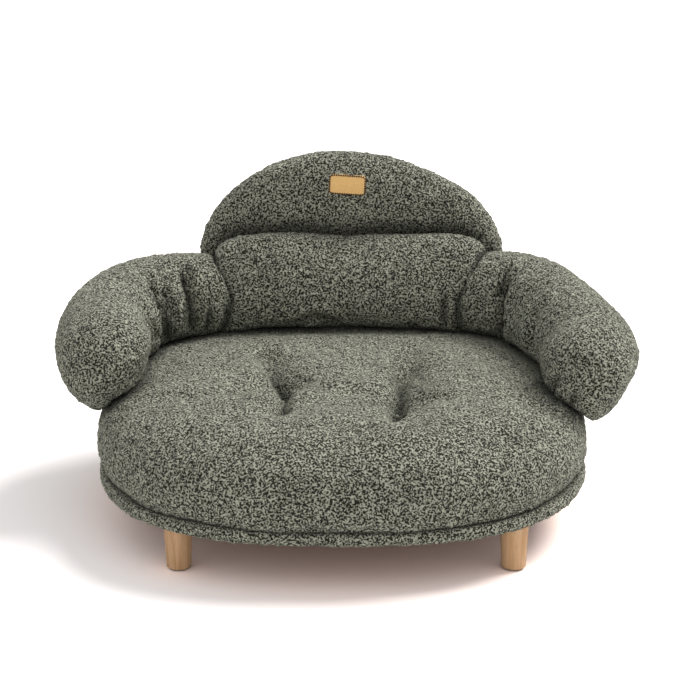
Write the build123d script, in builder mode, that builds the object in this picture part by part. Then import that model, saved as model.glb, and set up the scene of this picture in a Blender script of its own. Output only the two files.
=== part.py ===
from build123d import *
import math
import os

os.makedirs("parts", exist_ok=True)

# A small sofa bed for a dog, in millimetres. +Z is up, +X is the sofa's left-to-right width,
# +Y points to its back. The origin is on the floor, under the middle of the round seat.

# Base: a rounded oval board, its plan given by half sizes and a squareness exponent. It sits
# a little to the left of the middle between the legs, as the cushions on it do
base_centre_x = -5.0
base_half_width = 320.0
base_half_depth = 314.0
plan_squareness = 2.6
board_thickness = 15.0
band_thickness = 7.0
band_edge_round = 3.0
band_round_angles = (0, 30, 60, 90)
hem_width = 22.0
hem_thickness = 1.0
dust_cover_thickness = 0.7
dust_cover_inset = 9.0
staple_count = 36
staple_inset = 16.0
staple_width = 10.0
staple_wire = 0.7
staple_leg = 6.0

# Gaps: pressed soft parts, a cover and its fill, parts laid together, and turning fits
soft_gap = 0.3
fill_gap = 0.3
seat_gap = 0.3
turning_gap = 0.05
thread_gap = 0.3
cut_overrun = 2.0

# Arcs in half of a base outline, in half of a soft outline and in half of the dome's arch
plan_arcs = 12
soft_arcs = 8
dome_arcs = 4

# Legs, turned and tapered, each on a hanger bolt with a machine thread above
leg_half_spacing_x = 209.5
leg_half_spacing_y = 239.0
leg_length = 57.0
leg_top_radius = 18.0
leg_foot_radius = 15.5
leg_edge_round = 1.5
pad_radius = 13.0
pad_thickness = 2.5
pad_edge_chamfer = 0.6
pad_pin_radius = 1.6
pad_pin_length = 11.0
leg_washer_radius = 13.0
leg_clearance = 0.3
bolt_thread_radius = 4.0
thread_pitch = 1.25
thread_turns = 10.0
bolt_wood_radius = 3.4
bolt_wood_length = 30.0
bolt_end_chamfer = 0.8
tee_nut_barrel_radius = 5.2
tee_nut_flange_radius = 10.0
tee_nut_flange_thickness = 1.5

# Seat cushion
seat_centre_x = -5.5
seat_half_width = 324.0
seat_half_depth = 321.0
seat_height = 108.0
cover_wall = 2.0
foam_thickness = 32.0
foam_inset = 52.0

# Sewn tufts in the seat, and the creases that run from them
tuft_left_x = -84.0
tuft_left_y = -69.0
tuft_right_x = 65.0
tuft_right_y = -123.0
tuft_depth = 30.0
tuft_mouth_radius = 46.0
tuft_floor_radius = 6.0
crease_depth = 11.0
crease_half_width = 24.0
crease_rear_y = 112.0
crease_left_rear_x = -126.0
crease_right_rear_x = 92.0
crease_side_reach = 92.0
tuft_thread_radius = 1.0
tuft_knot_radius = 3.2
tuft_knot_height = 1.8
tuft_washer_radius = 7.0
tuft_washer_thickness = 1.2
tuft_recess_depth = 3.4

# Backrest: a domed cushion over an upright panel
back_centre_x = 7.0
back_front_y = 238.0
back_thickness = 68.0
back_half_width = 218.0
back_foot_half_width = 165.0
back_spring_z = 268.0
back_top_z = 420.0
back_squareness = 1.95
back_lean = -18.0
back_lean_power = 3
panel_thickness = 9.0
panel_inset = 27.0
panel_rear_setback = 27.0

# Steel angle brackets between panel and board, and their screws
bracket_half_spacing = 92.0
bracket_width = 22.0
bracket_foot_length = 20.0
bracket_height = 42.0
bracket_thickness = 2.0
bracket_bend_radius = 1.2
bracket_screw_height = 30.0
bracket_screw_setback = 12.0
screw_radius = 1.75
screw_head_radius = 3.4
screw_head_height = 1.8
panel_screw_length = 7.0
board_screw_length = 11.0

# Lumbar cushion between the arms
lumbar_half_length = 188.0
lumbar_half_height = 70.0
lumbar_half_thickness = 40.0
lumbar_centre_y = 199.0
lumbar_centre_z = 240.0
lumbar_squareness = 2.3

# Arm bolsters: the reach of their centre lines to the side, their run to the front, and height
arm_span = 326.0
arm_run = 200.0
arm_height = 224.0
arm_radius = 70.0
arm_stations = 15

# Leather label on the backrest, left bare
label_width = 52.0
label_height = 26.0
label_thickness = 1.6
label_corner_radius = 3.0
label_centre_z = 378.0
label_centre_x = 1.0
label_tilt = 3.0
label_seam_inset = 2.6
stitch_width = 0.8
stitch_depth = 0.5

# Zip across the back of the backrest cover
zip_length = 260.0
zip_centre_z = 138.0
tape_width = 26.0
tape_thickness = 0.8
zip_teeth_count = 60
tooth_height = 5.0
tooth_thickness = 2.0
tooth_length = 2.6
stop_length = 4.0
slider_length = 13.0
slider_wall = 1.2
slider_gap = 0.3
bail_pin_radius = 0.9
bail_ear_thickness = 1.4
puller_width = 4.4
puller_length = 26.0
puller_grip_width = 7.0
puller_thickness = 1.6
puller_eye_radius = 2.1

# Heights and places that follow from the stack of parts
leg_washer_thickness = hem_thickness + dust_cover_thickness + leg_clearance
leg_top_z = pad_thickness + leg_length
board_bottom_z = leg_top_z + leg_washer_thickness
board_top_z = board_bottom_z + board_thickness
seat_bottom_z = board_top_z + seat_gap
seat_top_z = seat_bottom_z + seat_height
thread_length = thread_pitch * thread_turns
back_rear_y = back_front_y + back_thickness
panel_rear_y = back_rear_y - panel_rear_setback
panel_front_y = panel_rear_y - panel_thickness
bracket_places = [back_centre_x - bracket_half_spacing, back_centre_x + bracket_half_spacing]
leg_places = {
    "front_left": (-leg_half_spacing_x, -leg_half_spacing_y),
    "front_right": (leg_half_spacing_x, -leg_half_spacing_y),
    "rear_left": (-leg_half_spacing_x, leg_half_spacing_y),
    "rear_right": (leg_half_spacing_x, leg_half_spacing_y),
}
leg_points = list(leg_places.values())
tuft_points = [(tuft_left_x, tuft_left_y), (tuft_right_x, tuft_right_y)]
board_inset = band_thickness + seat_gap

# The layers of a soft part: its cover's outside and inside, and its fill's outside
inner = -cover_wall
fill_inner = -(cover_wall + fill_gap)
layers = (0, inner, fill_inner)


def save(part, name):
    """Label a finished piece and write it as its own STEP file."""
    part.label = name
    export_step(part, f"parts/{name}.step")


def oval_points(half_width, half_height, squareness, count):
    """Points round a superellipse, anticlockwise from its right-hand end."""
    points = []
    for index in range(count):
        angle = 2 * math.pi * index / count
        across, up = math.cos(angle), math.sin(angle)
        points.append(
            (
                half_width * math.copysign(abs(across) ** (2 / squareness), across),
                half_height * math.copysign(abs(up) ** (2 / squareness), up),
            )
        )
    return points


def oval(half_width, half_height, squareness, arcs):
    """A closed line of arcs through a superellipse, for the line builder it stands in."""
    points = oval_points(half_width, half_height, squareness, 2 * arcs)
    for index in range(0, 2 * arcs, 2):
        ThreePointArc(points[index], points[index + 1], points[(index + 2) % (2 * arcs)])


def base_plate(inset, bottom_z, height):
    """An upright plate with the plan of the base, drawn in by inset."""
    with BuildPart() as plate:
        with BuildSketch(Plane((base_centre_x, 0, bottom_z))):
            with BuildLine():
                oval(base_half_width - inset, base_half_depth - inset, plan_squareness, plan_arcs)
            make_face()
        extrude(amount=height)
    return plate.part


# The seat's crown: how far the plan is drawn in, as a share of its half width, at each
# share of the cushion's height
seat_profile_shares = [
    (0.0, 0.046),
    (0.03, 0.024),
    (0.08, 0.010),
    (0.16, 0.002),
    (0.27, 0.0),
    (0.4, 0.003),
    (0.52, 0.011),
    (0.62, 0.025),
    (0.71, 0.046),
    (0.79, 0.077),
    (0.86, 0.12),
    (0.915, 0.175),
    (0.955, 0.25),
    (0.98, 0.35),
    (0.994, 0.48),
    (1.0, 0.66),
]


def seat_form(grow):
    """The seat cushion before its tufts, grown or shrunk all round."""
    with BuildPart() as form:
        for height_share, inset_share in seat_profile_shares:
            level = seat_bottom_z - grow + height_share * (seat_height + 2 * grow)
            with BuildSketch(Plane((seat_centre_x, 0, level))):
                with BuildLine():
                    oval(
                        seat_half_width * (1 - inset_share) + grow,
                        seat_half_depth * (1 - inset_share) + grow,
                        plan_squareness,
                        soft_arcs,
                    )
                make_face()
        loft(ruled=True)
    return form.part


# Where the wall of a tuft is halfway across, as a share of its depth
tuft_middle_share = 0.72

# The creases: between the tufts, from each tuft to the rear, and from each one sideways
crease_lines = [
    (tuft_points[0], tuft_points[1]),
    (tuft_points[0], (crease_left_rear_x, crease_rear_y)),
    (tuft_points[1], (crease_right_rear_x, crease_rear_y)),
    (tuft_points[0], (tuft_left_x - crease_side_reach, tuft_right_y)),
    (tuft_points[1], (tuft_right_x + crease_side_reach, tuft_right_y)),
]


def crease_form(start, end, grow):
    """A shallow valley: a long spindle laid along the line from start to end."""
    half_length = math.dist(start, end) / 2 + grow
    depth = crease_depth + grow
    mid_radius = (crease_half_width**2 + depth**2) / (2 * depth)
    end_radius = mid_radius - depth
    heading = math.atan2(end[1] - start[1], end[0] - start[0])
    direction = (math.cos(heading), math.sin(heading), 0)
    sideways = (math.sin(heading), -math.cos(heading), 0)
    middle = ((start[0] + end[0]) / 2, (start[1] + end[1]) / 2, seat_top_z - depth + mid_radius)
    with BuildPart() as form:
        with BuildSketch(Plane(middle, x_dir=direction, z_dir=sideways)):
            with BuildLine():
                low_point = (0, -mid_radius)
                ThreePointArc((-half_length, -end_radius), low_point, (half_length, -end_radius))
                Line((half_length, -end_radius), (half_length, 0))
                Line((half_length, 0), (-half_length, 0))
                Line((-half_length, 0), (-half_length, -end_radius))
            make_face()
        revolve(axis=Axis(middle, direction))
    return form.part


def tuft_form(grow):
    """What the two sewn tufts and their creases take out of the seat cushion."""
    mouth = tuft_mouth_radius + grow
    floor = tuft_floor_radius + grow
    floor_z = seat_top_z - tuft_depth - grow
    top_z = seat_top_z + tuft_depth
    middle = (mouth + floor) / 2
    middle_z = floor_z + (seat_top_z - floor_z) * (1 - tuft_middle_share)
    with BuildPart() as form:
        for x, y in tuft_points:
            with BuildSketch(Plane.XZ.offset(-y)):
                with BuildLine():
                    Line((x, floor_z), (x + floor, floor_z))
                    ThreePointArc((x + floor, floor_z), (x + middle, middle_z), (x + mouth, seat_top_z))
                    Line((x + mouth, seat_top_z), (x + mouth, top_z))
                    Line((x + mouth, top_z), (x, top_z))
                    Line((x, top_z), (x, floor_z))
                make_face()
            revolve(axis=Axis((x, y, 0), (0, 0, 1)))
        for start, end in crease_lines:
            add(crease_form(start, end, grow))
    return form.part


# The backrest's crown: how far its outline is drawn in, as a share of its thickness, at each
# share of that thickness from the front
back_profile_shares = [
    (0.0, 1.3),
    (0.012, 0.95),
    (0.035, 0.7),
    (0.075, 0.5),
    (0.13, 0.33),
    (0.2, 0.19),
    (0.29, 0.085),
    (0.4, 0.02),
    (0.52, 0.0),
    (0.64, 0.01),
    (0.75, 0.06),
    (0.84, 0.14),
    (0.91, 0.24),
    (0.965, 0.36),
    (1.0, 0.5),
]


def arch(inset, bottom_z):
    """The backrest's outline, drawn in by inset above a level foot, for a line builder."""
    foot = back_foot_half_width - inset
    rise = back_top_z - back_spring_z - inset
    whole = oval_points(back_half_width - inset, rise, back_squareness, 4 * dome_arcs)
    points = []
    for x, z in whole[: 2 * dome_arcs + 1]:
        lean = back_lean * (max(z, 0) / rise) ** back_lean_power
        points.append((back_centre_x + x + lean, back_spring_z + z))
    for index in range(0, 2 * dome_arcs, 2):
        ThreePointArc(points[index], points[index + 1], points[index + 2])
    Line(points[-1], (back_centre_x - foot, bottom_z))
    Line((back_centre_x - foot, bottom_z), (back_centre_x + foot, bottom_z))
    Line((back_centre_x + foot, bottom_z), points[0])


def back_form(grow):
    """The domed backrest cushion, grown or shrunk all round."""
    with BuildPart() as form:
        for depth_share, inset_share in back_profile_shares:
            place_y = back_front_y - grow + depth_share * (back_thickness + 2 * grow)
            with BuildSketch(Plane.XZ.offset(-place_y)):
                with BuildLine():
                    arch(inset_share * back_thickness - grow, seat_bottom_z - grow)
                make_face()
        loft(ruled=True)
    return form.part


# The lumbar cushion along its length: place, half thickness and half height, as shares
lumbar_profile_shares = [
    (-1.0, 0.3, 0.5),
    (-0.985, 0.5, 0.66),
    (-0.955, 0.66, 0.78),
    (-0.9, 0.8, 0.88),
    (-0.81, 0.92, 0.95),
    (-0.68, 0.98, 0.99),
    (-0.5, 1.0, 1.0),
    (-0.3, 0.99, 0.99),
    (-0.13, 0.95, 0.97),
    (0.0, 0.9, 0.945),
    (0.13, 0.95, 0.97),
    (0.3, 0.99, 0.99),
    (0.5, 1.0, 1.0),
    (0.68, 0.98, 0.99),
    (0.81, 0.92, 0.95),
    (0.9, 0.8, 0.88),
    (0.955, 0.66, 0.78),
    (0.985, 0.5, 0.66),
    (1.0, 0.3, 0.5),
]


def lumbar_form(grow):
    """The lumbar cushion before its neighbours press into it, grown or shrunk all round."""
    with BuildPart() as form:
        for length_share, thickness_share, height_share in lumbar_profile_shares:
            place = length_share * (lumbar_half_length + grow)
            middle = Plane((place, lumbar_centre_y, lumbar_centre_z), x_dir=(0, 1, 0), z_dir=(1, 0, 0))
            with BuildSketch(middle):
                with BuildLine():
                    oval(
                        lumbar_half_thickness * thickness_share + grow,
                        lumbar_half_height * height_share + grow,
                        lumbar_squareness,
                        soft_arcs,
                    )
                make_face()
        loft(ruled=True)
    return form.part


# The arms' centre lines, as shares of the arm's span, run and height, and of its radius.
# The left arm turns forward more, and the right one lies further out and lower.
left_arm_shares = [
    (-0.64, 0.985, 1.01, 0.9),
    (-0.75, 0.94, 1.01, 0.93),
    (-0.86, 0.84, 1.005, 0.95),
    (-0.945, 0.66, 0.99, 0.96),
    (-0.985, 0.4, 0.975, 0.98),
    (-0.99, 0.14, 0.965, 0.98),
    (-0.975, -0.06, 0.96, 0.98),
    (-0.96, -0.19, 0.955, 0.98),
]
right_arm_shares = [
    (0.64, 0.985, 1.01, 0.9),
    (0.73, 0.93, 1.015, 0.92),
    (0.815, 0.8, 1.0, 0.95),
    (0.885, 0.56, 0.97, 0.96),
    (0.935, 0.3, 0.945, 0.97),
    (0.97, 0.06, 0.925, 0.98),
    (0.965, -0.12, 0.91, 0.98),
    (0.94, -0.24, 0.9, 0.98),
]

# The round ends of an arm: how far out along the radius, and what is left of it there
arm_end_shares = [(0.25, 0.968), (0.47, 0.883), (0.66, 0.751), (0.81, 0.586), (0.92, 0.392), (0.98, 0.2)]


def arm_form(shares, grow):
    """An arm bolster before its neighbours press into it, grown or shrunk all round."""
    line = Edge.make_spline([Vector(arm_span * x, arm_run * y, arm_height * z) for x, y, z, _ in shares])
    stations = []
    for index in range(arm_stations):
        along = index / (arm_stations - 1)
        before = min(int(along * (len(shares) - 1)), len(shares) - 2)
        part_way = along * (len(shares) - 1) - before
        radius_share = shares[before][3] * (1 - part_way) + shares[before + 1][3] * part_way
        stations.append((line.position_at(along), line.tangent_at(along), arm_radius * radius_share + grow))
    first, first_heading, first_radius = stations[0]
    last, last_heading, last_radius = stations[-1]
    for out_share, radius_share in arm_end_shares:
        front = last + last_heading * (last_radius * out_share)
        rear = first - first_heading * (first_radius * out_share)
        stations.append((front, last_heading, last_radius * radius_share))
        stations.insert(0, (rear, first_heading, first_radius * radius_share))
    with BuildPart() as form:
        for centre, heading, radius in stations:
            level = Vector(0, 0, 1).cross(heading).normalized()
            with BuildSketch(Plane(centre, x_dir=level, z_dir=heading)):
                with BuildLine():
                    oval(radius, radius, 2, soft_arcs)
                make_face()
        loft(ruled=True)
    return form.part


def notch_form(grow):
    """The notch that the backrest takes out of the seat, open to the rear."""
    with BuildPart() as form:
        add(back_form(grow))
        with BuildSketch(Plane.XZ.offset(-(back_front_y + back_thickness / 2))):
            with BuildLine():
                arch(-grow, seat_bottom_z - grow)
            make_face()
        extrude(amount=-2 * back_thickness)
    return form.part


def panel_form(grow):
    """The upright back panel, grown by a gap where a pocket for it is cut."""
    with BuildPart() as form:
        with BuildSketch(Plane.XZ.offset(-(panel_rear_y + grow))):
            with BuildLine():
                arch(panel_inset - grow, board_top_z - grow)
            make_face()
        extrude(amount=panel_thickness + 2 * grow)
    return form.part


def bracket_space(grow):
    """The room that the angle brackets and their screw heads take behind the panel."""
    reach = bracket_foot_length + grow
    with BuildPart() as form:
        for x in bracket_places:
            with Locations((x, panel_rear_y + reach / 2, board_top_z + (bracket_height + grow) / 2)):
                Box(bracket_width + 2 * grow, reach, bracket_height + grow)
    return form.part


# The room that these cushions take from their neighbours, for each layer of a neighbour
seat_room = {layer: seat_form(soft_gap - layer) for layer in layers}
back_room = {layer: back_form(soft_gap - layer) for layer in layers}
lumbar_room = {layer: lumbar_form(soft_gap - layer) for layer in layers}


def seat_piece(layer):
    """The seat cushion as it lies: tufted, and pressed back by the backrest."""
    with BuildPart() as piece:
        add(seat_form(layer))
        add([notch_form(soft_gap - layer), tuft_form(-layer)], mode=Mode.SUBTRACT)
    return piece.part


def lumbar_piece(layer):
    """The lumbar cushion as it lies, on the seat and against the backrest."""
    with BuildPart() as piece:
        add(lumbar_form(layer))
        add([seat_room[layer], back_room[layer]], mode=Mode.SUBTRACT)
    return piece.part


def arm_piece(shares, layer):
    """An arm bolster as it lies, pressed by the seat, the backrest and the lumbar cushion."""
    with BuildPart() as piece:
        add(arm_form(shares, layer))
        add([seat_room[layer], back_room[layer], lumbar_room[layer]], mode=Mode.SUBTRACT)
    return piece.part


def bar(x, y, bottom_z, radius, length):
    """An upright round bar, or a hole of the same shape, standing on bottom_z."""
    with BuildPart() as round_bar:
        with BuildSketch(Plane.XY.offset(bottom_z)):
            with Locations((x, y)):
                Circle(radius)
        extrude(amount=length)
    return round_bar.part


# Base board, bored for the tee nuts, the tuft threads and the bracket screws
with BuildPart() as base_board:
    add(base_plate(board_inset, board_bottom_z, board_thickness))
    with Locations(Plane.XY.offset(board_top_z)):
        with Locations(*leg_points):
            CounterBoreHole(
                radius=tee_nut_barrel_radius + turning_gap,
                counter_bore_radius=tee_nut_flange_radius + turning_gap,
                counter_bore_depth=tee_nut_flange_thickness,
            )
        with Locations(*[(x, panel_rear_y + bracket_screw_setback) for x in bracket_places]):
            Hole(radius=screw_radius + turning_gap, depth=board_screw_length + seat_gap)
    for x, y in tuft_points:
        add(bar(x, y, board_bottom_z, tuft_thread_radius + thread_gap, board_thickness), mode=Mode.SUBTRACT)
        recess = bar(x, y, board_bottom_z, tuft_washer_radius + thread_gap, tuft_recess_depth)
        add(recess, mode=Mode.SUBTRACT)
save(base_board.part, "base_board")

# Padded fabric band round the board's edge, with a hem turned in below the board
with BuildPart() as base_cover:
    band_bottom_z = board_bottom_z - hem_thickness
    corner = [math.radians(angle) for angle in band_round_angles]
    rises = [band_edge_round * (1 - math.cos(turn)) for turn in corner]
    insets = [band_edge_round * (1 - math.sin(turn)) for turn in corner]
    band_rows = [(band_bottom_z + rise, inset) for rise, inset in zip(rises, insets)]
    band_rows += [(board_top_z - rise, inset) for rise, inset in zip(reversed(rises), reversed(insets))]
    for level, inset in band_rows:
        with BuildSketch(Plane((base_centre_x, 0, level))):
            with BuildLine():
                oval(base_half_width - inset, base_half_depth - inset, plan_squareness, plan_arcs)
            make_face()
    loft(ruled=True)
    add(base_plate(band_thickness, board_bottom_z, board_thickness + cut_overrun), mode=Mode.SUBTRACT)
    hem_cut = base_plate(hem_width, band_bottom_z - cut_overrun, board_thickness)
    add(hem_cut, mode=Mode.SUBTRACT)
    for x, y in leg_points:
        hole = bar(x, y, band_bottom_z, leg_washer_radius + thread_gap, hem_thickness)
        add(hole, mode=Mode.SUBTRACT)
save(base_cover.part, "base_cover")

# Dust cover of thin cloth under the base, with an opening for each leg's washer
with BuildPart() as dust_cover:
    dust_bottom_z = band_bottom_z - dust_cover_thickness
    add(base_plate(dust_cover_inset, dust_bottom_z, dust_cover_thickness))
    for x, y in leg_points:
        hole = bar(x, y, dust_bottom_z, leg_washer_radius + thread_gap, dust_cover_thickness)
        add(hole, mode=Mode.SUBTRACT)
save(dust_cover.part, "dust_cover")

# Staples through the dust cover and the hem into the board, in a ring between the legs
staple_points = oval_points(
    base_half_width - staple_inset, base_half_depth - staple_inset, plan_squareness, staple_count
)
staple_turns = [
    (base_centre_x + x, y, math.degrees(math.atan2(y, x)) + 90)
    for x, y in staple_points
    if min(math.dist((base_centre_x + x, y), leg) for leg in leg_points) > leg_top_radius + staple_width
]
crown_z = dust_bottom_z - staple_wire / 2
staple_leg_x = (staple_width - staple_wire) / 2
with BuildPart() as staples:
    with Locations(*[Location((x, y, crown_z), (0, 0, turn)) for x, y, turn in staple_turns]):
        Box(staple_width, staple_wire, staple_wire)
        with Locations((-staple_leg_x, 0, staple_leg / 2), (staple_leg_x, 0, staple_leg / 2)):
            Box(staple_wire, staple_wire, staple_leg)
save(staples.part, "staples")

# Tee nuts set into the top of the board, one over each leg
with BuildPart() as tee_nuts:
    for x, y in leg_points:
        flange_z = board_top_z - tee_nut_flange_thickness
        add(bar(x, y, flange_z, tee_nut_flange_radius, tee_nut_flange_thickness))
        add(bar(x, y, board_top_z - thread_length, tee_nut_barrel_radius, thread_length))
    for x, y in leg_points:
        bore = bar(x, y, board_bottom_z, bolt_thread_radius, board_thickness + cut_overrun)
        add(bore, mode=Mode.SUBTRACT)
save(tee_nuts.part, "tee_nuts")

# Each leg with its hanger bolt, its washer and its foot pad
pad_pin_top_z = pad_thickness + pad_pin_length
bolt_bottom_z = leg_top_z - bolt_wood_length
for place, (x, y) in leg_places.items():
    with BuildPart() as leg:
        with BuildSketch(Plane.XZ.offset(-y)):
            with BuildLine():
                Polyline(
                    (x, pad_thickness),
                    (x + leg_foot_radius, pad_thickness),
                    (x + leg_top_radius, leg_top_z),
                    (x, leg_top_z),
                    close=True,
                )
            make_face()
        revolve(axis=Axis((x, y, 0), (0, 0, 1)))
        fillet(leg.edges().filter_by(GeomType.CIRCLE), radius=leg_edge_round)
        bore_radius = bolt_wood_radius + turning_gap
        bolt_bore = bar(x, y, bolt_bottom_z - seat_gap, bore_radius, bolt_wood_length + cut_overrun)
        add(bolt_bore, mode=Mode.SUBTRACT)
        pin_bore = bar(x, y, 0, pad_pin_radius + turning_gap, pad_pin_top_z + seat_gap)
        add(pin_bore, mode=Mode.SUBTRACT)
    save(leg.part, f"leg_{place}")

    with BuildPart() as hanger_bolt:
        add(bar(x, y, bolt_bottom_z, bolt_wood_radius, bolt_wood_length))
        add(bar(x, y, leg_top_z, bolt_thread_radius - turning_gap, board_top_z - leg_top_z))
        ends = hanger_bolt.faces().filter_by(Axis.Z)
        chamfer(ends.sort_by(Axis.Z)[0].edges() + ends.sort_by(Axis.Z)[-1].edges(), length=bolt_end_chamfer)
    save(hanger_bolt.part, f"hanger_bolt_{place}")

    with BuildPart() as leg_washer:
        add(bar(x, y, leg_top_z, leg_washer_radius, leg_washer_thickness))
        add(bar(x, y, leg_top_z, bolt_thread_radius + thread_gap, leg_washer_thickness), mode=Mode.SUBTRACT)
    save(leg_washer.part, f"leg_washer_{place}")

    with BuildPart() as foot_pad:
        add(bar(x, y, 0, pad_radius, pad_thickness))
        chamfer(foot_pad.edges().group_by(Axis.Z)[0], length=pad_edge_chamfer)
        add(bar(x, y, pad_thickness, pad_pin_radius, pad_pin_length))
    save(foot_pad.part, f"foot_pad_{place}")

# Seat: a sewn cover, fibre fill inside it, and a foam slab under the fill
foam_bottom_z = seat_bottom_z - fill_inner
seat_inside = seat_piece(inner)
thread_hole_height = seat_top_z - board_bottom_z
thread_holes = [
    bar(x, y, board_bottom_z, tuft_thread_radius + thread_gap, thread_hole_height) for x, y in tuft_points
]
with BuildPart() as seat_cover:
    add(seat_piece(0))
    add(seat_inside, mode=Mode.SUBTRACT)
    for hole in thread_holes:
        add(hole, mode=Mode.SUBTRACT)
save(seat_cover.part, "seat_cover")

with BuildPart() as seat_fill:
    add(seat_piece(fill_inner))
    add(base_plate(foam_inset - fill_gap, foam_bottom_z, foam_thickness + fill_gap), mode=Mode.SUBTRACT)
    for hole in thread_holes:
        add(hole, mode=Mode.SUBTRACT)
save(seat_fill.part, "seat_fill")

with BuildPart() as seat_foam:
    add(base_plate(foam_inset, foam_bottom_z, foam_thickness))
    add(notch_form(soft_gap - fill_inner), mode=Mode.SUBTRACT)
    for hole in thread_holes:
        add(hole, mode=Mode.SUBTRACT)
save(seat_foam.part, "seat_foam")

# Tuft threads: each runs from a knot on the tuft's floor to a washer under the board
tuft_floor_z = seat_top_z - tuft_depth
washer_bottom_z = board_bottom_z + tuft_recess_depth - tuft_washer_thickness
thread_bottom_z = washer_bottom_z - tuft_knot_height
thread_top_z = tuft_floor_z + tuft_knot_radius
with BuildPart() as tuft_threads:
    for x, y in tuft_points:
        add(bar(x, y, thread_bottom_z, tuft_thread_radius, thread_top_z - thread_bottom_z))
        add(bar(x, y, thread_bottom_z, tuft_knot_radius, tuft_knot_height))
        with Locations((x, y, thread_top_z)):
            Sphere(tuft_knot_radius)
save(tuft_threads.part, "tuft_threads")

with BuildPart() as tuft_washers:
    for x, y in tuft_points:
        add(bar(x, y, washer_bottom_z, tuft_washer_radius, tuft_washer_thickness))
        hole = bar(x, y, washer_bottom_z, tuft_thread_radius + thread_gap, tuft_washer_thickness)
        add(hole, mode=Mode.SUBTRACT)
save(tuft_washers.part, "tuft_washers")

# Backrest: upright panel, two angle brackets with screws, then the cover and its fill
bracket_screw_z = board_top_z + bracket_screw_height
bracket_screw_y = panel_rear_y + bracket_screw_setback
with BuildPart() as back_panel:
    add(panel_form(0))
    for x in bracket_places:
        with Locations(Plane((x, panel_rear_y, bracket_screw_z), z_dir=(0, 1, 0))):
            Hole(radius=screw_radius + turning_gap, depth=panel_screw_length + seat_gap)
save(back_panel.part, "back_panel")

with BuildPart() as back_brackets:
    for x in bracket_places:
        with BuildSketch(Plane((x - bracket_width / 2, 0, 0), x_dir=(0, 1, 0), z_dir=(1, 0, 0))):
            with BuildLine():
                Polyline(
                    (panel_rear_y, board_top_z),
                    (panel_rear_y + bracket_foot_length, board_top_z),
                    (panel_rear_y + bracket_foot_length, board_top_z + bracket_thickness),
                    (panel_rear_y + bracket_thickness, board_top_z + bracket_thickness),
                    (panel_rear_y + bracket_thickness, board_top_z + bracket_height),
                    (panel_rear_y, board_top_z + bracket_height),
                    close=True,
                )
            make_face()
        extrude(amount=bracket_width)
    inner_bends = back_brackets.edges().filter_by(Axis.X).filter_by_position(
        Axis.Y, panel_rear_y + bracket_thickness - turning_gap, panel_rear_y + bracket_thickness + turning_gap
    )
    fillet(inner_bends.filter_by_position(
        Axis.Z, board_top_z, board_top_z + 2 * bracket_thickness), radius=bracket_bend_radius)
    for x in bracket_places:
        with Locations(Plane((x, panel_rear_y, bracket_screw_z), z_dir=(0, 1, 0))):
            Hole(radius=screw_radius + turning_gap)
        foot_hole = bar(x, bracket_screw_y, board_top_z, screw_radius + turning_gap, bracket_thickness)
        add(foot_hole, mode=Mode.SUBTRACT)
save(back_brackets.part, "back_brackets")

with BuildPart() as bracket_screws:
    for x in bracket_places:
        shank_top_z = board_top_z + bracket_thickness
        shank_bottom_z = board_top_z - board_screw_length
        add(bar(x, bracket_screw_y, shank_bottom_z, screw_radius, shank_top_z - shank_bottom_z))
        add(bar(x, bracket_screw_y, shank_top_z, screw_head_radius, screw_head_height))
        with BuildSketch(Plane((x, panel_rear_y - panel_screw_length, bracket_screw_z), z_dir=(0, 1, 0))):
            Circle(screw_radius)
        extrude(amount=panel_screw_length + bracket_thickness)
        with BuildSketch(Plane((x, panel_rear_y + bracket_thickness, bracket_screw_z), z_dir=(0, 1, 0))):
            Circle(screw_head_radius)
        extrude(amount=screw_head_height)
save(bracket_screws.part, "bracket_screws")

with BuildPart() as back_cover:
    add(back_form(0))
    add(back_form(inner), mode=Mode.SUBTRACT)
    add(panel_form(fill_gap), mode=Mode.SUBTRACT)
    add(bracket_space(fill_gap), mode=Mode.SUBTRACT)
save(back_cover.part, "back_cover")

with BuildPart() as back_fill:
    add(back_form(fill_inner))
    add(panel_form(fill_gap), mode=Mode.SUBTRACT)
    add(bracket_space(fill_gap), mode=Mode.SUBTRACT)
save(back_fill.part, "back_fill")

# Lumbar cushion and the two arm bolsters, each a cover over fibre fill
with BuildPart() as lumbar_cover:
    add(lumbar_piece(0))
    add(lumbar_piece(inner), mode=Mode.SUBTRACT)
save(lumbar_cover.part, "lumbar_cover")

with BuildPart() as lumbar_fill:
    add(lumbar_piece(fill_inner))
save(lumbar_fill.part, "lumbar_fill")

for side, shares in (("left", left_arm_shares), ("right", right_arm_shares)):
    with BuildPart() as arm_cover:
        add(arm_piece(shares, 0))
        add(arm_piece(shares, inner), mode=Mode.SUBTRACT)
    save(arm_cover.part, f"{side}_arm_cover")

    with BuildPart() as arm_fill:
        add(arm_piece(shares, fill_inner))
    save(arm_fill.part, f"{side}_arm_fill")

# Leather label that follows the backrest's front, with its seam line as a raised thread
label_plane = Plane(
    (label_centre_x, back_front_y + back_thickness / 2, label_centre_z), x_dir=(1, 0, 0), z_dir=(0, -1, 0)
).rotated((0, label_tilt, 0))
with BuildPart() as label_patch:
    add(back_form(soft_gap + label_thickness))
    add(back_form(soft_gap), mode=Mode.SUBTRACT)
    with BuildSketch(label_plane):
        RectangleRounded(label_width, label_height, label_corner_radius)
    extrude(amount=back_thickness, mode=Mode.INTERSECT)
save(label_patch.part, "label_patch")

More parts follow.
